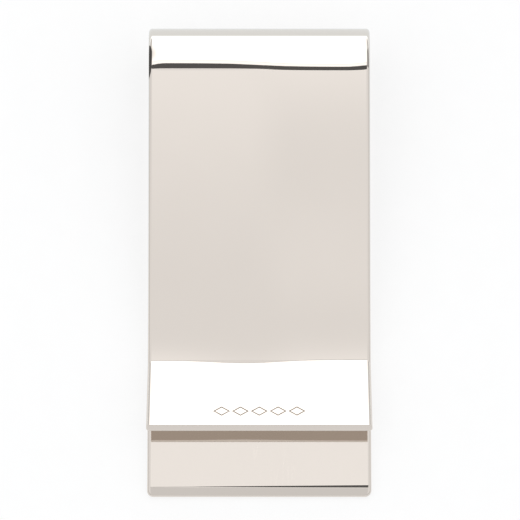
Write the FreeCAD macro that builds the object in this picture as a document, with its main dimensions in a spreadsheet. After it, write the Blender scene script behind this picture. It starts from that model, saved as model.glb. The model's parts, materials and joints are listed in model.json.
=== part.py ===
"""Money clip: one strip of spring sheet metal, folded round on itself.

The back leaf lies flat. The strip turns through a round bow and comes back over the leaf as a
front arm, which slopes down until it all but touches the leaf. There a tight bend turns it up
into the entry lip, under which folded notes are pushed in.

Frame, in millimetres: the clip lies on its back leaf, +Z is up, +Y runs from the lip towards the
bow, and X runs across the strip. The origin is the middle of the outline, on the surface that the
clip rests on.

The strip is divided into four bodies where its work changes: back_leaf, spring_bow, front_arm and
entry_lip. They meet face to face, each joint a short way along a straight stretch, so that no
joint falls in a bend.
"""

import FreeCAD
import Part
import Sketcher

import math
import os

# Driving dimensions, in millimetres and degrees. Each name is an alias in the sheet.
SIZES = {
    "overall_length": 52.42,
    "sheet_thickness": 1.1,
    "bow_radius": 4.4,  # outside of the bow
    "bend_radius": 0.5,  # hollow side of the bend between arm and lip
    "contact_reach": 32.93,  # from the bow's axis to the bend's axis, along the clip
    "contact_gap": 0.12,  # between the bend and the back leaf, with nothing held
    "lip_angle": 29.6,  # slope of the lip above the back leaf
    "lip_length": 8.75,
    "land_length": 1.0,  # straight run between a bend and the joint with the next body
    "bow_width": 24.75,
    "bend_width": 24.9,
    "lip_end_width": 25.25,
    "back_end_width": 25.1,
    "edge_radius": 0.4,  # long edges of the strip
    "back_end_top_radius": 0.6,
    "back_end_bottom_radius": 0.4,
    "lip_end_radius": 0.12,
    "ornament_count": 5,
    "ornament_pitch": 2.1,
    "ornament_length": 1.9,
    "ornament_height": 1.3,
    "ornament_stroke": 0.13,  # width of the engraved line, measured along the row
    "ornament_depth": 0.08,
    "ornament_from_end": 2.0,  # from the lip's end to the middle of the row
}

SHEET = "Sizes"
WORKINGS = "Workings"
ORIGIN_POINT = (-1, 1)  # a sketch's name for its own origin
CLOSE = 0.001  # two lengths this near are the same
ALMOST_NONE = 0.1  # the share of its length that an edge along the strip may run across it
PATTERN_TOLERANCE = 0.01  # the share by which a patterned cut may differ from its copies' sum
MARGIN = 1.0  # how far a cut reaches past the metal it trims

# Derived sizes, as expressions of the sheet's cells.
BOW_INSIDE = "(Sizes.bow_radius - Sizes.sheet_thickness)"
BEND_OUTSIDE = "(Sizes.bend_radius + Sizes.sheet_thickness)"
BOW_AXIS_Y = "(Sizes.overall_length / 2 - Sizes.bow_radius)"
BOW_AXIS_Z = "Sizes.bow_radius"
BEND_AXIS_Y = f"({BOW_AXIS_Y} - Sizes.contact_reach)"
BEND_AXIS_Z = f"(Sizes.sheet_thickness + Sizes.contact_gap + {BEND_OUTSIDE})"
BACK_LENGTH = f"({BOW_AXIS_Y} + Sizes.overall_length / 2 - Sizes.land_length)"

# The arm's underside is the inner tangent between the bow's inside and the bend's outside.
AXIS_DROP = f"({BOW_AXIS_Z} - {BEND_AXIS_Z})"
AXIS_DISTANCE = f"sqrt(Sizes.contact_reach ^ 2 + {AXIS_DROP} ^ 2)"
RADIUS_SUM = f"({BOW_INSIDE} + {BEND_OUTSIDE})"
ARM_SLOPE = f"(asin({RADIUS_SUM} / {AXIS_DISTANCE}) + atan({AXIS_DROP} / Sizes.contact_reach))"
LIP_SLOPE = "(Sizes.lip_angle * 1 deg)"
ARM_LENGTH = f"(sqrt({AXIS_DISTANCE} ^ 2 - {RADIUS_SUM} ^ 2) - 2 * Sizes.land_length)"

RIGHT_THROUGH = "(4 * Sizes.bow_radius)"  # depth that cuts right through any of the bodies


def make_sheet(doc):
    """The spreadsheet of driving dimensions, one row for each, and a property for workings."""
    sheet = doc.addObject("Spreadsheet::Sheet", SHEET)
    for row, (name, value) in enumerate(SIZES.items(), start=1):
        sheet.set(f"A{row}", name)
        sheet.set(f"B{row}", str(value))
        sheet.setAlias(f"B{row}", name)
    workings = doc.addObject("App::VarSet", WORKINGS)
    workings.addProperty("App::PropertyFloat", "Result")
    doc.recompute()


def evaluate(doc, expression):
    """The number that an expression of the sheet's cells gives now."""
    workings = doc.getObject(WORKINGS)
    workings.setExpression("Result", expression)
    workings.recompute()
    return workings.Result


# ---- Sketches ---------------------------------------------------------------------------------


def make_sketch(body, name, plane_role):
    """An empty sketch on one of the body's own origin planes."""
    sketch = body.newObject("Sketcher::SketchObject", name)
    sketch.AttachmentSupport = (origin_plane(body, plane_role), [""])
    sketch.MapMode = "FlatFace"
    return sketch


def origin_plane(body, role):
    """One of the body's origin planes, such as XY_Plane."""
    return next(plane for plane in body.Origin.OriginFeatures if plane.Role == role)


def bind(sketch, kind, *references, expression):
    """Add a dimension to the sketch and bind it to the sheet."""
    value = evaluate(sketch.Document, expression)
    if kind == "Angle":
        value = math.radians(value)
    index = sketch.addConstraint(Sketcher.Constraint(kind, *references, value))
    sketch.setExpression(f"Constraints[{index}]", expression)


def constrain(sketch, kind, *references):
    """Add a constraint that has no size."""
    sketch.addConstraint(Sketcher.Constraint(kind, *references))


def pin(sketch, line, vertex, x, y):
    """Fix one end of a line at x, y. Both are expressions."""
    for kind, expression in (("DistanceX", x), ("DistanceY", y)):
        if evaluate(sketch.Document, expression) < 0:
            bind(sketch, kind, line, vertex, *ORIGIN_POINT, expression=f"-{expression}")
        else:
            bind(sketch, kind, *ORIGIN_POINT, line, vertex, expression=expression)


def add_loop(sketch, points):
    """Straight lines that join the points in a closed loop. Returns the lines' indices."""
    first = len(sketch.Geometry)
    count = len(points)
    corners = [FreeCAD.Vector(x, y, 0) for x, y in points]
    for k in range(count):
        sketch.addGeometry(Part.LineSegment(corners[k], corners[(k + 1) % count]), False)
    for k in range(count):
        constrain(sketch, "Coincident", first + k, 2, first + (k + 1) % count, 1)
    return [first + k for k in range(count)]


def draw_flat_strip(sketch, length):
    """A flat strip in side view: it lies on the origin and runs back from it over length."""
    thickness = "Sizes.sheet_thickness"
    run = evaluate(sketch.Document, length)
    rise = evaluate(sketch.Document, thickness)
    bottom, end, top, joint = add_loop(sketch, [(0, 0), (-run, 0), (-run, rise), (0, rise)])
    constrain(sketch, "Coincident", bottom, 1, *ORIGIN_POINT)
    constrain(sketch, "Horizontal", bottom)
    constrain(sketch, "Horizontal", top)
    constrain(sketch, "Vertical", end)
    constrain(sketch, "Vertical", joint)
    bind(sketch, "Distance", bottom, expression=length)
    bind(sketch, "Distance", end, expression=thickness)


def draw_bent_strip(sketch, inside, turn, first_run, last_run):
    """A strip in side view, bent round the sketch's origin.

    It comes in level, below the origin, over first_run, turns anticlockwise by turn degrees and
    leaves over last_run. The hollow side of the bend has the radius inside.
    """
    doc = sketch.Document
    outside = f"({inside} + Sizes.sheet_thickness)"
    angle = math.radians(evaluate(doc, turn))
    run_in = evaluate(doc, first_run)
    run_out = evaluate(doc, last_run)
    across = FreeCAD.Vector(math.sin(angle), -math.cos(angle), 0)
    along = FreeCAD.Vector(math.cos(angle), math.sin(angle), 0)
    centre = FreeCAD.Vector(0, 0, 0)
    faces = []
    for radius in (evaluate(doc, outside), evaluate(doc, inside)):
        circle = Part.Circle(centre, FreeCAD.Vector(0, 0, 1), radius)
        low = FreeCAD.Vector(0, -radius, 0)
        far = across * radius
        before = Part.LineSegment(FreeCAD.Vector(-run_in, -radius, 0), low)
        arc = Part.ArcOfCircle(circle, -math.pi / 2, angle - math.pi / 2)
        after = Part.LineSegment(far, far + along * run_out)
        faces.append([sketch.addGeometry(piece, False) for piece in (before, arc, after)])
    for before, arc, after in faces:
        constrain(sketch, "Coincident", arc, 3, *ORIGIN_POINT)
        constrain(sketch, "Tangent", before, 2, arc, 1)
        constrain(sketch, "Tangent", arc, 2, after, 1)
        constrain(sketch, "Horizontal", before)
    (outer_in, outer_arc, outer_out), (inner_in, inner_arc, inner_out) = faces
    for outer, inner, tip in ((outer_in, inner_in, 1), (outer_out, inner_out, 2)):
        ends = (sketch.getPoint(outer, tip), sketch.getPoint(inner, tip))
        cap = sketch.addGeometry(Part.LineSegment(*ends), False)
        constrain(sketch, "Coincident", cap, 1, outer, tip)
        constrain(sketch, "Coincident", cap, 2, inner, tip)
        constrain(sketch, "Perpendicular", cap, outer)
    constrain(sketch, "Parallel", outer_out, inner_out)
    bind(sketch, "Radius", outer_arc, expression=outside)
    bind(sketch, "Radius", inner_arc, expression=inside)
    bind(sketch, "Angle", outer_arc, expression=turn)
    bind(sketch, "Distance", outer_in, expression=first_run)
    bind(sketch, "Distance", outer_out, expression=last_run)


def draw_lozenge(sketch, centre_x, centre_y, length, height):
    """A lozenge with its long way across the strip."""
    doc = sketch.Document
    middle_x = evaluate(doc, centre_x)
    middle_y = evaluate(doc, centre_y)
    half_length = evaluate(doc, length) / 2
    half_height = evaluate(doc, height) / 2
    corners = [
        (middle_x + half_length, middle_y),
        (middle_x, middle_y + half_height),
        (middle_x - half_length, middle_y),
        (middle_x, middle_y - half_height),
    ]
    upper_right, upper_left, lower_left, lower_right = add_loop(sketch, corners)
    constrain(sketch, "Equal", upper_right, upper_left)
    constrain(sketch, "Equal", upper_left, lower_left)
    constrain(sketch, "Equal", lower_left, lower_right)
    bind(sketch, "DistanceX", lower_left, 1, upper_right, 1, expression=length)
    bind(sketch, "DistanceY", lower_right, 1, upper_left, 1, expression=height)
    pin(sketch, upper_right, 1, f"({centre_x} + {length} / 2)", centre_y)


# ---- Features ---------------------------------------------------------------------------------


def make_body(doc, name):
    body = doc.addObject("PartDesign::Body", name)
    body.Label = name
    return body


def make_pad(body, sketch, width):
    """Make the side view width wide, half to each side of the middle of the strip."""
    pad = body.newObject("PartDesign::Pad", f"{body.Name}_strip")
    pad.Profile = sketch
    pad.SideType = "Symmetric"
    pad.setExpression("Length", width)
    body.Document.recompute()


def trim_sides(body, near_width, far_width, near_y, far_y):
    """Trim both sides to straight lines, from near_width at near_y to far_width at far_y."""
    doc = body.Document
    splay = f"(({far_width} - {near_width}) / 2 / ({near_y} - {far_y}))"
    near_x = f"({near_width} / 2 - {splay} * {MARGIN})"
    far_x = f"({far_width} / 2 + {splay} * {MARGIN})"
    outer_x = f"({far_width} / 2 + 2 * {MARGIN})"
    top_y = f"({near_y} + {MARGIN})"
    low_y = f"({far_y} - {MARGIN})"
    waste = [(near_x, top_y), (far_x, low_y), (outer_x, low_y), (outer_x, top_y)]
    sketch = make_sketch(body, f"{body.Name}_outline", "XY_Plane")
    for side in ("1", "-1"):
        corners = [(f"({side} * {x})", y) for x, y in waste]
        lines = add_loop(sketch, [(evaluate(doc, x), evaluate(doc, y)) for x, y in corners])
        for line, (x, y) in zip(lines, corners):
            pin(sketch, line, 1, x, y)
    before = body.Shape.Volume
    cut = body.newObject("PartDesign::Pocket", f"{body.Name}_trim")
    cut.Profile = sketch
    cut.SideType = "Symmetric"
    cut.setExpression("Length", RIGHT_THROUGH)
    doc.recompute()
    if body.Shape.Volume > before - CLOSE:
        raise RuntimeError(f"{cut.Name} cuts nothing")


def named_edges(feature):
    return [(f"Edge{k}", edge) for k, edge in enumerate(feature.Shape.Edges, start=1)]


def round_edges(body, name, radius, is_wanted):
    """Round every edge of the body so far for which is_wanted(edge) is true."""
    base = body.Tip
    fillet = body.newObject("PartDesign::Fillet", name)
    fillet.Base = (base, [edge_name for edge_name, edge in named_edges(base) if is_wanted(edge)])
    fillet.setExpression("Radius", radius)
    body.Document.recompute()


def runs_along_side(edge):
    """Whether an edge runs along a side of the strip, and isn't the short edge of a cut end."""
    tangent = edge.tangentAt((edge.FirstParameter + edge.LastParameter) / 2)
    is_cut_end = abs(edge.Length - SIZES["sheet_thickness"]) < CLOSE
    return abs(tangent.x) < ALMOST_NONE and not is_cut_end


def round_long_edges(body):
    round_edges(body, f"{body.Name}_long_edges", "Sizes.edge_radius", runs_along_side)


# ---- Sub-parts --------------------------------------------------------------------------------


def make_back_leaf(doc):
    """The flat leaf that the clip lies on, from the joint with the bow to its soft round end."""
    body = make_body(doc, "back_leaf")
    profile = make_sketch(body, "back_side_view", "YZ_Plane")
    draw_flat_strip(profile, BACK_LENGTH)
    make_pad(body, profile, f"Sizes.back_end_width + {MARGIN}")
    trim_sides(body, "Sizes.bow_width", "Sizes.back_end_width", "0", f"-{BACK_LENGTH}")

    end_y = -evaluate(doc, BACK_LENGTH)

    def end_edge_at(height):
        def is_wanted(edge):
            middle = edge.CenterOfMass
            return abs(middle.y - end_y) < CLOSE and abs(middle.z - height) < CLOSE

        return is_wanted

    upper = end_edge_at(SIZES["sheet_thickness"])
    lower = end_edge_at(0.0)
    round_edges(body, "back_end_top", "Sizes.back_end_top_radius", upper)
    round_edges(body, "back_end_bottom", "Sizes.back_end_bottom_radius", lower)
    round_long_edges(body)
    body.setExpression("Placement.Base.y", f"{BOW_AXIS_Y} - Sizes.land_length")
    return body


def make_spring_bow(doc):
    """The round bow that springs the arm. Its own origin is on the bow's axis."""
    body = make_body(doc, "spring_bow")
    profile = make_sketch(body, "bow_side_view", "YZ_Plane")
    turn = f"(180 deg + {ARM_SLOPE})"
    draw_bent_strip(profile, BOW_INSIDE, turn, "Sizes.land_length", "Sizes.land_length")
    make_pad(body, profile, "Sizes.bow_width")
    round_long_edges(body)
    body.setExpression("Placement.Base.y", BOW_AXIS_Y)
    body.setExpression("Placement.Base.z", BOW_AXIS_Z)
    return body


def make_front_arm(doc):
    """The straight arm, laid flat in its own frame and placed at its slope."""
    body = make_body(doc, "front_arm")
    profile = make_sketch(body, "arm_side_view", "YZ_Plane")
    draw_flat_strip(profile, ARM_LENGTH)
    make_pad(body, profile, f"Sizes.bend_width + {MARGIN}")
    trim_sides(body, "Sizes.bow_width", "Sizes.bend_width", "0", f"-{ARM_LENGTH}")
    round_long_edges(body)
    slope = ARM_SLOPE
    across = f"{BOW_INSIDE} * sin({slope}) + Sizes.land_length * cos({slope})"
    above = f"{BOW_INSIDE} * cos({slope}) - Sizes.land_length * sin({slope})"
    body.Placement = FreeCAD.Placement(FreeCAD.Vector(), FreeCAD.Rotation(FreeCAD.Vector(1, 0, 0), 1))
    body.setExpression("Placement.Base.y", f"{BOW_AXIS_Y} - ({across})")
    body.setExpression("Placement.Base.z", f"{BOW_AXIS_Z} + {above}")
    body.setExpression("Placement.Rotation.Angle", slope)
    return body


def make_entry_lip(doc):
    """The bend and the lip beyond it, with the lip laid level in the body's own frame.

    The body's origin is on the bend's axis.
    """
    body = make_body(doc, "entry_lip")
    profile = make_sketch(body, "lip_side_view", "YZ_Plane")
    turn = f"({ARM_SLOPE} + {LIP_SLOPE})"
    draw_bent_strip(profile, "Sizes.bend_radius", turn, "Sizes.lip_length", "Sizes.land_length")
    make_pad(body, profile, f"Sizes.lip_end_width + {MARGIN}")
    middle_radius = "(Sizes.bend_radius + Sizes.sheet_thickness / 2)"
    joint_y = f"({middle_radius} * sin({turn}) + Sizes.land_length * cos({turn}))"
    trim_sides(body, "Sizes.bend_width", "Sizes.lip_end_width", joint_y, "(-Sizes.lip_length)")
    round_long_edges(body)

    def is_at_end(edge):
        return abs(edge.CenterOfMass.y + SIZES["lip_length"]) < CLOSE

    round_edges(body, "lip_end_edges", "Sizes.lip_end_radius", is_at_end)
    engrave_ornament(body)
    body.Placement = FreeCAD.Placement(FreeCAD.Vector(), FreeCAD.Rotation(FreeCAD.Vector(1, 0, 0), -1))
    body.setExpression("Placement.Base.y", BEND_AXIS_Y)
    body.setExpression("Placement.Base.z", BEND_AXIS_Z)
    body.setExpression("Placement.Rotation.Angle", f"-{LIP_SLOPE}")
    return body


def engrave_ornament(body):
    """A plain row of engraved lozenges near the lip's end, cut into its front face."""
    sketch = make_sketch(body, "lozenge_outline", "XY_Plane")
    first_x = "(-(Sizes.ornament_count - 1) / 2 * Sizes.ornament_pitch)"
    row_y = "(Sizes.ornament_from_end - Sizes.lip_length)"
    inner_share = "(1 - 2 * Sizes.ornament_stroke / Sizes.ornament_length)"
    for share in ("1", inner_share):
        length = f"(Sizes.ornament_length * {share})"
        height = f"(Sizes.ornament_height * {share})"
        draw_lozenge(sketch, first_x, row_y, length, height)
    before = body.Shape.Volume
    cut = body.newObject("PartDesign::Pocket", "lozenge")
    cut.Profile = sketch
    cut.setExpression("Length", "Sizes.bend_radius + Sizes.ornament_depth")
    body.Document.recompute()
    one_lozenge = before - body.Shape.Volume
    row = body.newObject("PartDesign::LinearPattern", "lozenge_row")
    row.Originals = [cut]
    row.Direction = (sketch, ["H_Axis"])
    row.setExpression("Occurrences", "Sizes.ornament_count")
    row.setExpression("Length", "(Sizes.ornament_count - 1) * Sizes.ornament_pitch")
    body.Tip = row
    body.Document.recompute()
    all_lozenges = before - body.Shape.Volume
    shortfall = one_lozenge * SIZES["ornament_count"] - all_lozenges
    if abs(shortfall) > PATTERN_TOLERANCE * all_lozenges:
        raise RuntimeError("the row of lozenges isn't fully engraved")


# ---- Document ---------------------------------------------------------------------------------


def check_document(doc, bodies):
    """Stop if a feature failed or a body has no valid solid."""
    failed = [item.Name for item in doc.Objects if {"Invalid", "Error"} & set(item.State)]
    if failed:
        raise RuntimeError(f"these objects failed: {failed}")
    for body in bodies:
        shape = body.Shape
        if shape.isNull() or not shape.isValid() or len(shape.Solids) != 1:
            raise RuntimeError(f"{body.Label} isn't one valid solid")


def export(bodies):
    """Write one STEP file for each sub-part and print what it holds."""
    os.makedirs("parts", exist_ok=True)
    for body in bodies:
        body.Shape.exportStep(f"parts/{body.Label}.step")
        box = body.Shape.optimalBoundingBox(False)
        size = f"{box.XLength:.2f} x {box.YLength:.2f} x {box.ZLength:.2f} mm"
        print(f"{body.Label}: {size}, {body.Shape.Volume:.1f} mm3")


def main():
    doc = FreeCAD.newDocument("money_clip")
    make_sheet(doc)
    bodies = [make_back_leaf(doc), make_spring_bow(doc), make_front_arm(doc), make_entry_lip(doc)]
    doc.recompute()
    check_document(doc, bodies)
    export(bodies)


main()
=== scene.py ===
"""A polished money clip: its looks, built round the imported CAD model.

Lengths are in metres, in the CAD model's own frame: +Z up, +Y towards the bow, X across the
strip. The clip is one folded strip, so all four pieces are swept along one path: the middle line
of the strip in side view, from the back leaf's end, round the bow and along the arm to the lip's
end. A place on the strip is (across, along, out): its distance from the strip's middle, its
distance along the path, and its height above the middle of the sheet on the bow's outer side.
"""

import json
import math

import bmesh
import bpy
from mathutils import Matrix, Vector


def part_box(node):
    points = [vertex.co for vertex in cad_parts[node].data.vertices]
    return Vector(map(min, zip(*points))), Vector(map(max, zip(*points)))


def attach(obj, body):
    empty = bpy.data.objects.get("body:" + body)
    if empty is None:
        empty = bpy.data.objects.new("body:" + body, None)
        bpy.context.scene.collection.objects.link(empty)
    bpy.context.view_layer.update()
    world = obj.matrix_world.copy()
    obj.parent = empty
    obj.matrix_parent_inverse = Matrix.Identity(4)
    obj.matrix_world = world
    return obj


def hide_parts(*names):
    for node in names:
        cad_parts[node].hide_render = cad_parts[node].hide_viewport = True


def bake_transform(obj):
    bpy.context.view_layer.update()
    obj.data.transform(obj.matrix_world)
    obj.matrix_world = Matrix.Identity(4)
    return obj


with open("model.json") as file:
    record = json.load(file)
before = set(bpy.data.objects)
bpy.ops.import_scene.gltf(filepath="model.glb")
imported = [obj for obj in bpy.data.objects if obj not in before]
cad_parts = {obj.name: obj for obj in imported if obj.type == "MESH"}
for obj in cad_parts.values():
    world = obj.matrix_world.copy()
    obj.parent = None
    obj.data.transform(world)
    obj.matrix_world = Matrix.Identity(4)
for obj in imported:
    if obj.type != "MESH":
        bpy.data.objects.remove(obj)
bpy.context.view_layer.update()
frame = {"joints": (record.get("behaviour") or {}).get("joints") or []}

MM = 0.001

# ---- Sizes ------------------------------------------------------------------------------------

LEAF_LOW, LEAF_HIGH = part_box("back_leaf")
BOW_LOW, BOW_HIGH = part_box("spring_bow")
ARM_LOW, ARM_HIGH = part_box("front_arm")
LIP_LOW, LIP_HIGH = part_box("entry_lip")
BOW_AXIS = Vector(frame["joints"][0]["pos_m"])

THICKNESS = LEAF_HIGH.z - LEAF_LOW.z
BOW_RADIUS = BOW_HIGH.y - BOW_AXIS.y  # outside
BEND_RADIUS = 0.5 * MM  # hollow side
LIP_SLOPE = math.radians(29.6)
LIP_LENGTH = 8.75 * MM
LIP_END_RADIUS = 0.12 * MM
LAND = BOW_AXIS.y - LEAF_HIGH.y  # straight run between a bend and the joint with the next piece
EDGE_RADIUS = 0.4 * MM

BOW_WIDTH = BOW_HIGH.x - BOW_LOW.x
BEND_WIDTH = ARM_HIGH.x - ARM_LOW.x
LIP_END_WIDTH = LIP_HIGH.x - LIP_LOW.x
BACK_END_WIDTH = LEAF_HIGH.x - LEAF_LOW.x

# The back leaf's soft end: how far each face rolls off along the leaf, and where they meet.
NOSE_TOP_RUN = 1.15 * MM
NOSE_BOTTOM_RUN = 0.6 * MM
NOSE_HEIGHT = 0.4 * MM
NOSE_CORNER = 0.7 * MM  # corner radius in plan
NOSE_FLAT = 0.02 * MM  # the thin flat left where the two faces meet

LOZENGE_COUNT = 5
LOZENGE_PITCH = 2.1 * MM
LOZENGE_LENGTH = 1.9 * MM
LOZENGE_HEIGHT = 1.3 * MM
LOZENGE_STROKE = 0.13 * MM
LOZENGE_DEPTH = 0.08 * MM
LOZENGE_FROM_END = 2.0 * MM

# How far the strip is from true, from forming and hand polishing. Where the bow meets the arm, its
# slope is off by a little in the middle and by a twist to either side, which turns back close to
# each long edge.
BOW_TWIST_MIDDLE = math.radians(0.22)
BOW_TWIST = math.radians(3.5)
BOW_TWIST_WIDTH = 4 * MM
BOW_LEFT_EDGE_DROOP = math.radians(5)
BOW_LEFT_EDGE = 11.2 * MM  # from the middle, where the droop starts
BOW_LEFT_EDGE_WIDTH = 1.1 * MM
BOW_RIGHT_EDGE_RISE = math.radians(3.3)
BOW_RIGHT_EDGE = 9.8 * MM
BOW_RIGHT_EDGE_WIDTH = 2.6 * MM
BOW_TWIST_REACH = 0.85 * MM  # over which the slope comes in, on average
BOW_TWIST_REACH_CHANGE = 0.25 * MM  # from the middle to either side
BOW_TWIST_END = 0.29 * MM  # past the bow, on the arm
BOW_TWIST_START = 3.2 * MM  # before the bow's end
BOW_TWIST_FADE = 2.3 * MM
ARM_LIFT = 0.022 * MM  # beside the bend
ARM_LIFT_RUN = 5 * MM
ARM_HOLLOW = 0.035 * MM
ARM_HOLLOW_START = -2 * MM  # from the middle; the hollow is deepest ARM_HOLLOW_WIDTH further right
ARM_HOLLOW_WIDTH = 6 * MM
BEND_SAG = 0.32 * MM  # how far the bend wanders along the arm near the middle
BEND_SHIFT = 0.05 * MM
BEND_SKEW = 0.005  # how many metres sooner the bend comes per metre across
BEND_BUMP_MIDDLE = -1.5 * MM
BEND_BUMP_WIDTH = 5 * MM
BEND_BUMP_DIP = 0.35  # the share by which the arm lifts less there
NOSE_CREASE = 0.31  # how abruptly the leaf's top starts to roll off, from 0 to 1
NOSE_CREASE_CHANGE = 9  # how much softer that gets per metre across
NOSE_SKEW = 8  # how much longer the rolled-off end gets per metre across

# How finely the skin is divided.
COLUMNS = 40  # across a flat face
CORNER_STEPS = 8  # round each long edge
ARC_STEP = math.radians(0.8)
FLAT_STEP = 0.35 * MM
FINE_STEP = 0.04 * MM  # beside each bend's ends
FINE_STEPS = 18
NOSE_STEPS = 24
SHARP_ANGLE = math.radians(35)
SUPPORT = 0.02 * MM  # a row this close to a bend's end keeps the flat beside it flat
REPEAT = SUPPORT / 4  # rows closer than this count as one
STRAIGHT = 1e-9  # a turn smaller than this counts as none


# ---- The strip's path -------------------------------------------------------------------------


def bend_axis():
    """The axis of the bend between the arm and the lip."""
    reach = LIP_LENGTH * math.cos(LIP_SLOPE) + (BEND_RADIUS + THICKNESS) * math.sin(LIP_SLOPE)
    rounded_off = LIP_END_RADIUS * (math.cos(LIP_SLOPE) + math.sin(LIP_SLOPE) - 1)
    return Vector((0, LIP_LOW.y + reach - rounded_off, LIP_LOW.z + BEND_RADIUS + THICKNESS))


def arm_slope_and_run():
    """The slope and length of the straight line that touches the bow's inside and the bend."""
    across = bend_axis() - BOW_AXIS
    distance = across.length
    radii = BOW_RADIUS - THICKNESS + BEND_RADIUS + THICKNESS
    slope = math.asin(radii / distance) + math.atan2(-across.z, -across.y)
    return slope, math.sqrt(distance**2 - radii**2)


def without_near_repeats(rows):
    """The rows in order, leaving out any that all but repeats the one before."""
    kept = rows[:1]
    for row in rows[1:]:
        if row - kept[-1] > REPEAT:
            kept.append(row)
    return kept


class Path:
    """A line in side view, made of straight runs and arcs that follow on smoothly."""

    def __init__(self, start, runs):
        """Each run is (length, turn), with turn in radians, anticlockwise seen from +X."""
        self.runs = []
        self.length = 0.0
        point, heading = start, 0.0
        for length, turn in runs:
            self.runs.append((self.length, length, turn, point, heading))
            point, heading = self.move(point, heading, turn / length, length)
            self.length += length

    @staticmethod
    def move(point, heading, curvature, distance):
        """Where a point comes to, and its new heading, after a distance at one curvature."""
        turned = curvature * distance
        chord = distance if abs(turned) < STRAIGHT else math.sin(turned / 2) * 2 / curvature
        middle = heading + turned / 2
        step = Vector((0, math.cos(middle), math.sin(middle))) * chord
        return point + step, heading + turned

    def at(self, along):
        """The point at a distance along the path, and the direction out of the bow there."""
        start, length, turn, point, heading = next(
            (run for run in reversed(self.runs) if along >= run[0]), self.runs[0]
        )
        point, heading = self.move(point, heading, turn / length, along - start)
        return point, Vector((0, math.sin(heading), -math.cos(heading)))

    def rows(self, first, last):
        """Distances along the path for rows of the skin: close together where it bends."""
        rows = {first, last}
        for start, length, turn, _, _ in self.runs:
            end = start + length
            inside = [start - SUPPORT, start, start + SUPPORT, end - SUPPORT, end, end + SUPPORT]
            steps = math.ceil(max(abs(turn) / ARC_STEP, length / FLAT_STEP))
            inside += [start + length * k / steps for k in range(1, steps)]
            inside += [start + FINE_STEP * k for k in range(-FINE_STEPS, FINE_STEPS)]
            rows.update(row for row in inside if first + SUPPORT < row < last - SUPPORT)
        return without_near_repeats(sorted(rows))


ARM_SLOPE, ARM_RUN = arm_slope_and_run()
HALF_SHEET = THICKNESS / 2
LEAF_RUN = BOW_AXIS.y - LEAF_LOW.y
BOW_TURN = math.pi + ARM_SLOPE
BOW_RUN = BOW_TURN * (BOW_RADIUS - HALF_SHEET)
BEND_TURN = ARM_SLOPE + LIP_SLOPE
BEND_RUN = BEND_TURN * (BEND_RADIUS + HALF_SHEET)

PATH = Path(
    Vector((0, LEAF_LOW.y, HALF_SHEET)),
    [(LEAF_RUN, 0), (BOW_RUN, BOW_TURN), (ARM_RUN, 0), (BEND_RUN, -BEND_TURN), (LIP_LENGTH, 0)],
)

# Where the bow ends, the bend starts and one piece meets the next, along the path.
BOW_END = LEAF_RUN + BOW_RUN
BEND = BOW_END + ARM_RUN
LEAF_JOINT = LEAF_RUN - LAND
BOW_JOINT = BOW_END + LAND
ARM_JOINT = BEND - LAND
LIP_END = PATH.length
ARM_DIRECTION = Vector((0, -math.cos(ARM_SLOPE), -math.sin(ARM_SLOPE)))
LIP_DIRECTION = Vector((0, -math.cos(LIP_SLOPE), math.sin(LIP_SLOPE)))


# ---- The strip's section ----------------------------------------------------------------------


def between(value, low, high):
    """How far value is from low to high, as a share, kept from 0 to 1."""
    return min(max((value - low) / (high - low), 0.0), 1.0)


def half_width(along):
    """Half the strip's width at a distance along the path."""
    leaf = BACK_END_WIDTH + (BOW_WIDTH - BACK_END_WIDTH) * between(along, 0, LEAF_JOINT)
    arm = (BEND_WIDTH - BOW_WIDTH) * between(along, BOW_JOINT, ARM_JOINT)
    lip = (LIP_END_WIDTH - BEND_WIDTH) * between(along, ARM_JOINT, LIP_END)
    return (leaf + arm + lip) / 2


def columns():
    """Places across a flat face, as shares of its half-width, with a support by each edge."""
    inner = [-1 + 2 * k / COLUMNS for k in range(1, COLUMNS)]
    support = 1 - SUPPORT / (BOW_WIDTH / 2)
    return [-1, -support] + inner + [support, 1]


def rounded_corner(across, out, edge, first):
    """Points round a long edge, clockwise from the angle first, without its two ends."""
    angles = [math.radians(first - 90 * k / CORNER_STEPS) for k in range(1, CORNER_STEPS)]
    return [(across + edge * math.cos(angle), out + edge * math.sin(angle)) for angle in angles]


def section(half, low, high, edge):
    """(across, out) round the strip's section, from its outer face's left edge."""
    flat = half - edge
    points = [(share * flat, high) for share in columns()]
    points += rounded_corner(flat, high - edge, edge, 90)
    points += [(half, high - edge), (half, low + edge)]
    points += rounded_corner(flat, low + edge, edge, 0)
    points += [(-share * flat, low) for share in columns()]
    points += rounded_corner(-flat, low + edge, edge, -90)
    points += [(-half, low + edge), (-half, high - edge)]
    points += rounded_corner(-flat, high - edge, edge, 180)
    return points


def smooth(share):
    """A smooth rise from 0 to 1, kept there outside that range."""
    share = between(share, 0, 1)
    return share * share * (3 - 2 * share)


def relief_at_bow(across, along):
    """The bow is a little flatter on one side and tighter on the other where it meets the arm."""
    side = math.tanh(across / BOW_TWIST_WIDTH)
    slope = BOW_TWIST_MIDDLE + BOW_TWIST * side
    slope += BOW_LEFT_EDGE_DROOP * smooth((-across - BOW_LEFT_EDGE) / BOW_LEFT_EDGE_WIDTH)
    slope -= BOW_RIGHT_EDGE_RISE * smooth((across - BOW_RIGHT_EDGE) / BOW_RIGHT_EDGE_WIDTH)
    reach = BOW_TWIST_REACH - BOW_TWIST_REACH_CHANGE * side
    before = (BOW_END + BOW_TWIST_END - along) / reach
    if before <= 0:
        return 0.0
    rise = before - 0.5 if before > 1 else before**3 - before**4 / 2
    fade = smooth((along - BOW_END + BOW_TWIST_START) / BOW_TWIST_FADE)
    return -slope * reach * rise * fade


def bend_bump(across):
    """1 near the middle of the bend, falling to 0 on both sides."""
    return math.exp(-(((across - BEND_BUMP_MIDDLE) / BEND_BUMP_WIDTH) ** 2))


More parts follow.
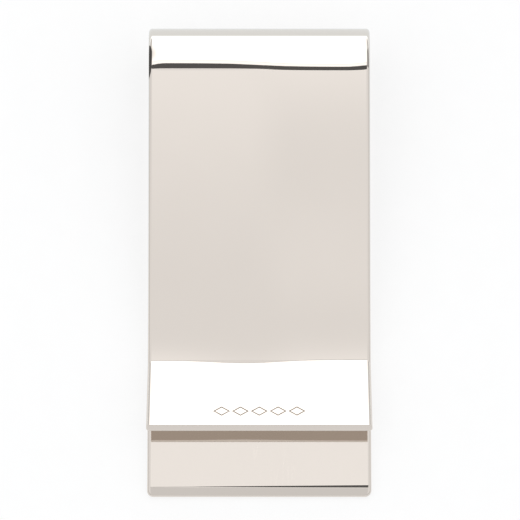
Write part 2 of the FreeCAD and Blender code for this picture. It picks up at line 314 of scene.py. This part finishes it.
def bend_delay(across):
    """How much further along the bend comes than it should: it isn't quite straight."""
    return BEND_SAG * bend_bump(across) - BEND_SHIFT - BEND_SKEW * across


def relief_on_arm(across, along):
    """The arm is a little hollow on one side, and lifts slightly just before the bend."""
    hollow = ARM_HOLLOW * smooth((across - ARM_HOLLOW_START) / ARM_HOLLOW_WIDTH)
    wave = -hollow * math.sin(math.pi * between(along, BOW_END, BEND)) ** 2
    lift = ARM_LIFT * (1 - BEND_BUMP_DIP * bend_bump(across))
    settled = smooth((along - BEND) / (LIP_END - BEND))
    return wave + lift * between(along, BEND - ARM_LIFT_RUN, BEND) ** 3 * (1 - settled)


def relief(across, along):
    """How far forming and hand polishing leave the sheet from true, out of the bow."""
    return relief_at_bow(across, along) + relief_on_arm(across, along)


def place(across, along, out):
    """The point in the frame of a place on the strip."""
    delay = bend_delay(across) if along > (BOW_END + BEND) / 2 else 0.0
    point, outwards = PATH.at(along - delay)
    settled = between(along, BEND + BEND_RUN + BEND_SAG, LIP_END)
    point = point + (ARM_DIRECTION * (1 - settled) + LIP_DIRECTION * settled) * delay
    point = point + Vector((across, 0, 0))
    return point + outwards * (out + relief(across, along))


def row(along, inset=0.0, low=-HALF_SHEET, high=HALF_SHEET):
    """One row of the skin, right round the strip, at a distance along the path."""
    edge = min(EDGE_RADIUS - inset, (high - low) / 2 - inset)
    ring = section(half_width(along) - inset, low + inset, high - inset, edge)
    return [place(across, along, out) for across, out in ring]


def nose_rows():
    """Rows round the back leaf's soft end, from its tip to where the leaf is full thickness."""
    rows = []
    for step in range(NOSE_STEPS):
        angle = math.pi / 2 * step / NOSE_STEPS
        rows.append(nose_row(NOSE_TOP_RUN * (1 - math.cos(angle))))
    return rows + [nose_row(NOSE_TOP_RUN + offset) for offset in (-SUPPORT, 0, SUPPORT)]


def rolled_off(along, run, depth, crease=0.0):
    """How far an elliptical end has dropped away at a distance from its tip."""
    start = 1 - math.sqrt(1 - crease**2)
    share = crease + (1 - crease) * (1 - between(along, 0, run))
    return depth * (1 - math.sqrt(1 - share**2) - start) / (1 - start)


def nose_row(along):
    """One row of the back leaf's soft end. The leaf's top is the strip's inner face."""
    corner = rolled_off(along, NOSE_CORNER, NOSE_CORNER)
    high = HALF_SHEET - rolled_off(along, NOSE_BOTTOM_RUN, NOSE_HEIGHT - NOSE_FLAT)
    depth = THICKNESS - NOSE_HEIGHT - NOSE_FLAT
    points = []
    for across, out in section(half_width(along) - corner, -HALF_SHEET, HALF_SHEET, EDGE_RADIUS):
        crease = NOSE_CREASE - NOSE_CREASE_CHANGE * across
        low = -HALF_SHEET + rolled_off(along, NOSE_TOP_RUN, depth, crease)
        share = between(out, -HALF_SHEET, HALF_SHEET)
        stretch = 1 + NOSE_SKEW * across
        points.append(place(across, along * stretch, low + share * (high - low)))
    return points


def lip_end_rows():
    """Rows round the lip's crisp end, with one more on the flat of the end itself."""
    rows = []
    for step in range(1, CORNER_STEPS + 1):
        angle = math.pi / 2 * step / CORNER_STEPS
        along = LIP_END - LIP_END_RADIUS * (1 - math.sin(angle))
        rows.append(row(along, inset=LIP_END_RADIUS * (1 - math.cos(angle))))
    rows.append(row(LIP_END, inset=LIP_END_RADIUS + SUPPORT))
    return rows


# ---- Pieces -----------------------------------------------------------------------------------


def make_skin(name, rows, sharp_start, sharp_end):
    """A closed smooth skin over the rows. A sharp end is a flat cut."""
    skin = bmesh.new()
    rings = [[skin.verts.new(point) for point in points] for points in rows]
    for near, far in zip(rings, rings[1:]):
        for k in range(len(near)):
            skin.faces.new((near[k - 1], far[k - 1], far[k], near[k]))
    for ring, is_sharp in ((rings[0], sharp_start), (rings[-1][::-1], sharp_end)):
        cap = skin.faces.new(ring)
        for edge in cap.edges:
            edge.smooth = not is_sharp
    for face in skin.faces:
        face.smooth = True
    bmesh.ops.recalc_face_normals(skin, faces=skin.faces)
    mesh = bpy.data.meshes.new(name)
    skin.to_mesh(mesh)
    skin.free()
    piece = bpy.data.objects.new(name, mesh)
    bpy.context.scene.collection.objects.link(piece)
    return piece


def make_back_leaf():
    """The flat leaf underneath, with its soft round end."""
    rows = nose_rows()
    rows += [row(along) for along in PATH.rows(NOSE_TOP_RUN + FLAT_STEP, LEAF_JOINT)]
    return make_skin("polished_back_leaf", rows, False, True)


def make_bow():
    """The round bow that springs the arm."""
    rows = [row(along) for along in PATH.rows(LEAF_JOINT, BOW_JOINT)]
    return make_skin("polished_spring_bow", rows, True, True)


def make_arm():
    """The straight arm."""
    rows = [row(along) for along in PATH.rows(BOW_JOINT, ARM_JOINT)]
    return make_skin("polished_front_arm", rows, True, True)


def make_lip():
    """The bend and the flared lip."""
    rows = [row(along) for along in PATH.rows(ARM_JOINT, LIP_END - LIP_END_RADIUS)]
    return make_skin("polished_entry_lip", rows + lip_end_rows(), True, False)


def lozenge(middle, grow):
    """The corners of one lozenge as (across, along), made larger all round by grow."""
    length, height = LOZENGE_LENGTH / 2, LOZENGE_HEIGHT / 2
    scale = 1 + grow * math.hypot(length, height) / (length * height)
    along = LIP_END - LOZENGE_FROM_END
    corners = [(-length, 0), (0, height), (length, 0), (0, -height)]
    return [(middle + scale * u, along + scale * v) for u, v in corners]


def make_cutter(material):
    """The solid that engraves the row of lozenge outlines in the lip's front."""
    cutter = bmesh.new()
    outs = (HALF_SHEET - LOZENGE_DEPTH, HALF_SHEET + LOZENGE_DEPTH)
    for number in range(LOZENGE_COUNT):
        middle = (number - (LOZENGE_COUNT - 1) / 2) * LOZENGE_PITCH
        outer = lozenge(middle, 0)
        inner = lozenge(middle, -LOZENGE_STROKE)
        rings = [
            [cutter.verts.new(place(across, along, out)) for across, along in outline]
            for outline in (outer, inner)
            for out in outs
        ]
        for near, far in ((0, 1), (1, 3), (3, 2), (2, 0)):
            for k in range(4):
                corners = (rings[near][k - 1], rings[near][k], rings[far][k], rings[far][k - 1])
                cutter.faces.new(corners)
    bmesh.ops.recalc_face_normals(cutter, faces=cutter.faces)
    mesh = bpy.data.meshes.new("lozenge_cutter")
    cutter.to_mesh(mesh)
    cutter.free()
    mesh.materials.append(material)
    cutter_object = bpy.data.objects.new("lozenge_cutter", mesh)
    bpy.context.scene.collection.objects.link(cutter_object)
    return cutter_object


def engrave(piece, cutter):
    """Cut the cutter out of a piece. The cut faces take the cutter's material."""
    cut = piece.modifiers.new("engraving", "BOOLEAN")
    cut.operation = "DIFFERENCE"
    cut.solver = "EXACT"
    cut.material_mode = "TRANSFER"
    cut.object = cutter
    engraved = bpy.data.meshes.new_from_object(piece.evaluated_get(bpy.context.evaluated_depsgraph_get()))
    piece.modifiers.clear()
    piece.data = engraved
    bpy.data.objects.remove(cutter)
    mesh = bmesh.new()
    mesh.from_mesh(engraved)
    for edge in mesh.edges:
        if edge.is_manifold and edge.calc_face_angle() > SHARP_ANGLE:
            edge.smooth = False
    mesh.to_mesh(engraved)
    mesh.free()


# ---- Materials --------------------------------------------------------------------------------


class Tree:
    """A node tree, with short calls to add nodes and join them."""

    def __init__(self, tree):
        self.nodes = tree.nodes
        self.links = tree.links

    def add(self, kind, inputs=(), **settings):
        """A new node. Each input is (socket, value), where the value may be another's output."""
        node = self.nodes.new(kind)
        for name, value in settings.items():
            setattr(node, name, value)
        for socket, value in inputs:
            self.join(node.inputs[socket], value)
        return node

    def where(self):
        """The place on the object, in metres."""
        return self.add("ShaderNodeTexCoord").outputs["Object"]

    def join(self, socket, value):
        """Give a socket a value, or join another node's output to it."""
        if isinstance(value, bpy.types.NodeSocket):
            self.links.new(value, socket)
        else:
            socket.default_value = value

    def ramp(self, value, low, high):
        """0 below low and 1 above high, with a smooth rise between them."""
        inputs = [("Value", value), ("From Min", low), ("From Max", high)]
        node = self.add("ShaderNodeMapRange", inputs, interpolation_type="SMOOTHSTEP")
        return node.outputs["Result"]

    def math(self, operation, *values):
        """The result of a maths operation on numbers or outputs."""
        node = self.add("ShaderNodeMath", enumerate(values), operation=operation)
        return node.outputs[0]

    def blend(self, share, first, second):
        """A number that goes from first to second as share goes from 0 to 1."""
        node = self.add("ShaderNodeMix", [("Factor", share), (2, first), (3, second)])
        return node.outputs[0]

    def tint(self, share, first, second):
        """A colour that goes from first to second as share goes from 0 to 1."""
        inputs = [("Factor", share), (6, first), (7, second)]
        return self.add("ShaderNodeMix", inputs, data_type="RGBA").outputs[2]

    def noise(self, where, scale, detail):
        """Soft noise from 0 to 1."""
        inputs = [("Vector", where), ("Scale", scale), ("Detail", detail)]
        return self.add("ShaderNodeTexNoise", inputs).outputs[0]

    def stretched(self, where, turn, scale):
        """A place turned and stretched, for a pattern with a direction."""
        inputs = [("Vector", where), ("Rotation", turn), ("Scale", scale)]
        return self.add("ShaderNodeMapping", inputs).outputs[0]

    def axis(self, where, name):
        """One axis of a place or a direction."""
        return self.add("ShaderNodeSeparateXYZ", [(0, where)]).outputs[name]


WHITE = (1, 1, 1, 1)
BLACK = (0, 0, 0, 1)

METAL_COLOUR = (0.75, 0.695, 0.645, 1)
METAL_COLOUR_WORN = (0.735, 0.68, 0.63, 1)
BUFFING_SCALE = (4000, 120, 900)  # lines per metre: fine across the strip and long along it
BUFFING_TURN = (0, 0, 0.06)
BUFFED_ROUGHNESS = (0.01, 0.035)
EDGE_ROUGHNESS = 0.11
SCRATCH_SCALE = (2600, 90, 400)
SCRATCH_TURN = (0, 0, 0.9)
SCRATCH_WIDTH = 0.03
SCRATCH_ROUGHNESS = 0.06
SCRATCHED_PATCHES = (0.5, 0.68)  # where the clouds start and finish letting scratches through
CLOUD_SCALE = 160

ENGRAVED_COLOUR = (0.58, 0.53, 0.48, 1)
ENGRAVED_COLOUR_DARK = (0.44, 0.40, 0.36, 1)
ENGRAVED_ROUGHNESS = (0.35, 0.6)
ENGRAVED_GRAIN_SCALE = 9000
ENGRAVED_GRAIN_DEPTH = 0.02 * MM
ENGRAVED_GRAIN_STRENGTH = 0.4


def new_material(name):
    """A new material, with its tree and its shader."""
    material = bpy.data.materials.new(name)
    material.use_nodes = True
    tree = Tree(material.node_tree)
    return material, tree, tree.nodes["Principled BSDF"]


def make_polished_metal():
    """Silver-coloured metal, buffed to a mirror, with faint buffing lines and hairline scratches."""
    material, tree, shader = new_material("polished_metal")
    shader.inputs["Metallic"].default_value = 1.0
    where = tree.where()
    lines = tree.noise(tree.stretched(where, BUFFING_TURN, BUFFING_SCALE), scale=1, detail=3)
    cloud = tree.noise(where, CLOUD_SCALE, detail=2)
    hairs = [("Vector", tree.stretched(where, SCRATCH_TURN, SCRATCH_SCALE)), ("Scale", 1)]
    cells = tree.add("ShaderNodeTexVoronoi", hairs, feature="DISTANCE_TO_EDGE")
    scratch = tree.ramp(cells.outputs["Distance"], SCRATCH_WIDTH, 0.0)
    patchy = tree.math("MULTIPLY", scratch, tree.ramp(cloud, *SCRATCHED_PATCHES))
    across = tree.math("ABSOLUTE", tree.axis(where, "X"))
    edges = tree.ramp(across, BOW_WIDTH / 2 - EDGE_RADIUS, BACK_END_WIDTH / 2)
    unscratched = tree.blend(edges, tree.blend(lines, *BUFFED_ROUGHNESS), EDGE_ROUGHNESS)
    tree.join(shader.inputs["Roughness"], tree.blend(patchy, unscratched, SCRATCH_ROUGHNESS))
    tree.join(shader.inputs["Base Color"], tree.tint(cloud, METAL_COLOUR, METAL_COLOUR_WORN))
    return material


def make_engraved_metal():
    """The engraved strokes: the same metal, dull and dark where it is cut."""
    material, tree, shader = new_material("engraved_metal")
    shader.inputs["Metallic"].default_value = 1.0
    grain = tree.noise(tree.where(), ENGRAVED_GRAIN_SCALE, detail=4)
    tree.join(shader.inputs["Base Color"], tree.tint(grain, ENGRAVED_COLOUR, ENGRAVED_COLOUR_DARK))
    tree.join(shader.inputs["Roughness"], tree.blend(grain, *ENGRAVED_ROUGHNESS))
    height = [("Height", grain), ("Strength", ENGRAVED_GRAIN_STRENGTH), ("Distance", ENGRAVED_GRAIN_DEPTH)]
    tree.join(shader.inputs["Normal"], tree.add("ShaderNodeBump", height).outputs[0])
    return material


# ---- Stage ------------------------------------------------------------------------------------

FLOOR_SIZE = 4.0
FLOOR_COLOUR = (0.26, 0.262, 0.265, 1)

# How brightly the floor glows, seen directly: near the clip, and further out. The glow is painted light:
# it lifts the clip's shadow and makes a brighter pool round the clip.
FLOOR_PAINTED_LIGHT = 0.74
FLOOR_PAINTED_LIGHT_AROUND = 0.38
FLOOR_AROUND = (50 * MM, 350 * MM)  # from the clip's middle, where that starts and is complete
FLOOR_GRAIN = 0.01
FLOOR_GRAIN_SCALE = 400

# How brightly it glows, and its tint, as the metal reflects it: painted shade near the clip, deeper on the
# lip's side, painted light further out, and a painted tint near the bow.
FLOOR_PAINTED_SHADE_AT_BOW = 0.715
FLOOR_PAINTED_SHADE_AT_LIP = 0.45
FLOOR_PAINTED_LIGHT_FAR = 1.5
FLOOR_REFLECTION_TINT_AT_BOW = (0.945, 1, 1.018, 1)
FLOOR_AT_LIP = 19 * MM  # how far past the leaf's end the level at the lip is reached
FLOOR_FAR = (30 * MM, 72 * MM)  # past the clip's ends, where the far level starts and is complete


def floor_painted_light_seen(tree, where):
    """The floor's glow, seen directly: painted light, brighter in a pool round the clip."""
    distance = tree.add("ShaderNodeVectorMath", [(0, where)], operation="LENGTH").outputs["Value"]
    around = tree.blend(tree.ramp(distance, *FLOOR_AROUND), FLOOR_PAINTED_LIGHT, FLOOR_PAINTED_LIGHT_AROUND)
    grain = tree.noise(where, FLOOR_GRAIN_SCALE, detail=3)
    return tree.math("ADD", around, tree.blend(grain, -FLOOR_GRAIN, FLOOR_GRAIN))


def floor_painted_reflection(tree, along):
    """The floor's glow, as the metal reflects it: painted shade near the clip and on the lip's side,
    painted light further out.
    """
    close = tree.ramp(along, LEAF_LOW.y - FLOOR_AT_LIP, LEAF_LOW.y)
    near = tree.blend(close, FLOOR_PAINTED_SHADE_AT_LIP, FLOOR_PAINTED_SHADE_AT_BOW)
    outside = tree.math("SUBTRACT", tree.math("ABSOLUTE", along), BOW_HIGH.y)
    return tree.blend(tree.ramp(outside, *FLOOR_FAR), near, FLOOR_PAINTED_LIGHT_FAR)


def make_floor():
    """A wide pale floor under the clip. Its glow is painted light and shade: one level seen directly,
    another in the metal's reflections.
    """
    bpy.ops.mesh.primitive_plane_add(size=FLOOR_SIZE, location=(0, 0, LEAF_LOW.z))
    floor = bpy.context.object
    floor.name = "floor"
    material, tree, shader = new_material("pale_floor")
    shader.inputs["Roughness"].default_value = 1.0
    shader.inputs["Specular IOR Level"].default_value = 0.0
    shader.inputs["Base Color"].default_value = FLOOR_COLOUR
    where = tree.where()
    along = tree.axis(where, "Y")
    seen = tree.add("ShaderNodeLightPath").outputs["Is Camera Ray"]
    # A painted reflection tint: the floor looks cooler only in the metal near the bow, never when seen
    # directly.
    at_bow = tree.ramp(along, -FLOOR_AT_LIP, FLOOR_AT_LIP)
    cooler = tree.math("MULTIPLY", at_bow, tree.math("SUBTRACT", 1, seen))
    tree.join(shader.inputs["Emission Color"], tree.tint(cooler, WHITE, FLOOR_REFLECTION_TINT_AT_BOW))
    glow = tree.blend(seen, floor_painted_reflection(tree, along), floor_painted_light_seen(tree, where))
    tree.join(shader.inputs["Emission Strength"], glow)
    floor.data.materials.append(material)


# The room is a wide white light on the bow's side and a dimmer one on the lip's side. Bands lie
# across it, each over the ones before. Each is (first, last, edge, level): where it starts and
# stops, in degrees from straight up in side view, positive towards the bow's side; how soft its
# edges are; and how bright it is.
DIM_SIDE = 0.79
BANDS = [
    (-90, -1.1, 0.3, DIM_SIDE),
    (-16.5, -12.6, 1.5, 0.96),
    (-14.2, -12.6, 1.7, 1.14),
    (-3.05, -1.1, 0.3, 0.03),
    (-1.1, 6.9, 0.2, 1.5),
    (6.9, 8.1, 0.2, 1.11),
]
WHITE_SIDE = 1.8
# Well off to the left and right there are no bands: it is dimmer, and dimmest near the floor.
SIDEWAYS = (0.06, 0.27)  # how much of a direction is sideways, where that starts and is complete
SIDE_LOW = 0.6
SIDE_HIGH = 0.95
SIDE_HIGH_FROM = 0.6  # how much of a direction is upwards, where the high level is reached
BACKDROP = (0.93, 0.93, 0.93, 1)  # seen directly


def make_room():
    """Soft light from all round, with a narrow dark gap between its two sides."""
    world = bpy.data.worlds.new("room")
    bpy.context.scene.world = world
    world.use_nodes = True
    tree = Tree(world.node_tree)
    direction = tree.add("ShaderNodeTexCoord").outputs["Generated"]
    axes = tree.add("ShaderNodeSeparateXYZ", [(0, direction)])
    angle = tree.math("ARCTAN2", axes.outputs["Y"], axes.outputs["Z"])
    degrees = tree.math("MULTIPLY", angle, math.degrees(1))
    level = WHITE_SIDE
    for first, last, edge, band_level in BANDS:
        starts = tree.ramp(degrees, first, first + edge)
        stops = tree.ramp(degrees, last, last + edge)
        level = tree.blend(tree.math("SUBTRACT", starts, stops), level, band_level)
    sideways = tree.ramp(tree.math("ABSOLUTE", axes.outputs["X"]), *SIDEWAYS)
    side_level = tree.blend(tree.ramp(axes.outputs["Z"], 0.0, SIDE_HIGH_FROM), SIDE_LOW, SIDE_HIGH)
    level = tree.blend(sideways, level, side_level)
    light = tree.nodes["Background"]
    light.inputs["Color"].default_value = WHITE
    tree.join(light.inputs["Strength"], level)
    backdrop = tree.add("ShaderNodeBackground", [("Color", BACKDROP)])
    seen = tree.add("ShaderNodeLightPath").outputs["Is Camera Ray"]
    either = tree.add("ShaderNodeMixShader", [(0, seen), (1, light.outputs[0]), (2, backdrop.outputs[0])])
    tree.join(tree.nodes["World Output"].inputs["Surface"], either.outputs[0])


# Small dark cards beside the bow, which fade out towards the top. They paint dark reflections: seen
# only in metal within their reach, never directly, and they cast no shadow. Each is (name, side,
# level, corners, fade), in millimetres: each corner is (y, height), and fade is the height where the
# card starts to fade out.
SIDE_CARDS = [
    ("dark_card_left", -1, 0.09, [(20, 6.8), (24.4, 6.8), (26.4, 11.3), (28, 17), (20.4, 17)], 13),
    ("dark_card_right", 1, 0.30, [(21, 9), (25, 9), (26.5, 13), (21, 13)], 11),
]
SIDE_CARD_OFFSET = 1.5 * MM  # from the clip's edge
SIDE_CARD_REACH = (4.5 * MM, 8 * MM)

# Long dark cards right across the clip, above it, which paint dark reflections: seen only in metal
# within their reach. Each is (name, first, last, reach), in millimetres: where it starts and stops
# along y, and how far it is to the furthest metal that it shows in fully.
LONG_CARDS = [
    ("dark_card_above_bow", 16.225, 21.05, 22.3),
    ("dark_card_above_leaf_end", -32.0, -25.3, 30),
]
LONG_CARD_HEIGHT = 30 * MM
LONG_CARD_LENGTH = 120 * MM
LONG_CARD_LEVEL = 0.115
LONG_CARD_FADE = 1.5 * MM


def make_card(name, level, corners):
    """A dark card that isn't seen directly and lights nothing, with its tree and its shader."""
    mesh = bpy.data.meshes.new(name)
    mesh.from_pydata(corners, [], [range(len(corners))])
    card = bpy.data.objects.new(name, mesh)
    bpy.context.scene.collection.objects.link(card)
    material, tree, shader = new_material(name)
    shader.inputs["Base Color"].default_value = BLACK
    shader.inputs["Specular IOR Level"].default_value = 0.0
    shader.inputs["Emission Color"].default_value = WHITE
    shader.inputs["Emission Strength"].default_value = level
    mesh.materials.append(material)
    card.visible_camera = False
    card.visible_diffuse = False
    card.visible_shadow = False
    return tree, shader


def within_reach(tree, reach, out_of_reach):
    """1 where the metal that reflects a card is within its reach, falling to 0 out of reach."""
    distance = tree.add("ShaderNodeLightPath").outputs["Ray Length"]
    return tree.ramp(distance, out_of_reach, reach)


def make_side_card(name, side, level, corners, fade):
    """A small card upright beside the clip, which its long edge reflects."""
    across = side * (BACK_END_WIDTH / 2 + SIDE_CARD_OFFSET)
    points = [(across, y * MM, height * MM) for y, height in corners]
    tree, shader = make_card(name, level, points)
    top = max(height for _, height in corners)
    faded = tree.ramp(tree.axis(tree.where(), "Z"), top * MM, fade * MM)
    shown = tree.math("MULTIPLY", faded, within_reach(tree, *SIDE_CARD_REACH))
    tree.join(shader.inputs["Alpha"], shown)


def make_long_card(name, first, last, reach):
    """A level card above the clip, reflected where the metal near it faces it."""
    end = LONG_CARD_LENGTH / 2
    outline = [(-end, first), (end, first), (end, last), (-end, last)]
    points = [(x, y * MM, LONG_CARD_HEIGHT) for x, y in outline]
    tree, shader = make_card(name, LONG_CARD_LEVEL, points)
    shown = within_reach(tree, reach * MM, reach * MM + LONG_CARD_FADE)
    tree.join(shader.inputs["Alpha"], shown)


CAMERA_TILT = math.radians(8.6)  # from straight above, towards the lip's side
CAMERA_DISTANCE = 1.2
CAMERA_SENSOR = 36
CAMERA_CLIP_START = 0.01
VIEW_WIDTH = 58.2 * MM  # how much the lens takes in at the clip
AIM = Vector((0.08 * MM, 0.06 * MM, 4 * MM))
BOUNCES = 24  # enough for light to find its way out from between the leaf and the arm


def make_camera():
    """A long lens almost straight above the clip."""
    data = bpy.data.cameras.new("camera")
    data.sensor_width = CAMERA_SENSOR
    data.lens = CAMERA_SENSOR * CAMERA_DISTANCE / VIEW_WIDTH
    data.clip_start = CAMERA_CLIP_START
    camera = bpy.data.objects.new("camera", data)
    bpy.context.scene.collection.objects.link(camera)
    towards = Vector((0, -math.sin(CAMERA_TILT), math.cos(CAMERA_TILT)))
    camera.location = AIM + towards * CAMERA_DISTANCE
    camera.rotation_mode = "QUATERNION"
    camera.rotation_quaternion = towards.to_track_quat("Z", "Y")
    bpy.context.scene.camera = camera


# ---- Scene ------------------------------------------------------------------------------------

metal = make_polished_metal()
engraved_metal = make_engraved_metal()
leaf = make_back_leaf()
bow = make_bow()
arm = make_arm()
lip = make_lip()
for piece in (leaf, bow, arm, lip):
    piece.data.materials.append(metal)
engrave(lip, make_cutter(engraved_metal))

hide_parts("back_leaf")
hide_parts("spring_bow")
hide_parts("front_arm")
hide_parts("entry_lip")
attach(leaf, "back")
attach(arm, "jaw")
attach(lip, "jaw")
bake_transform(bow)

make_floor()
for card in SIDE_CARDS:
    make_side_card(*card)
for card in LONG_CARDS:
    make_long_card(*card)
make_room()
make_camera()
bpy.context.scene.view_settings.view_transform = "Standard"
bpy.context.scene.cycles.max_bounces = BOUNCES
bpy.context.scene.cycles.glossy_bounces = BOUNCES
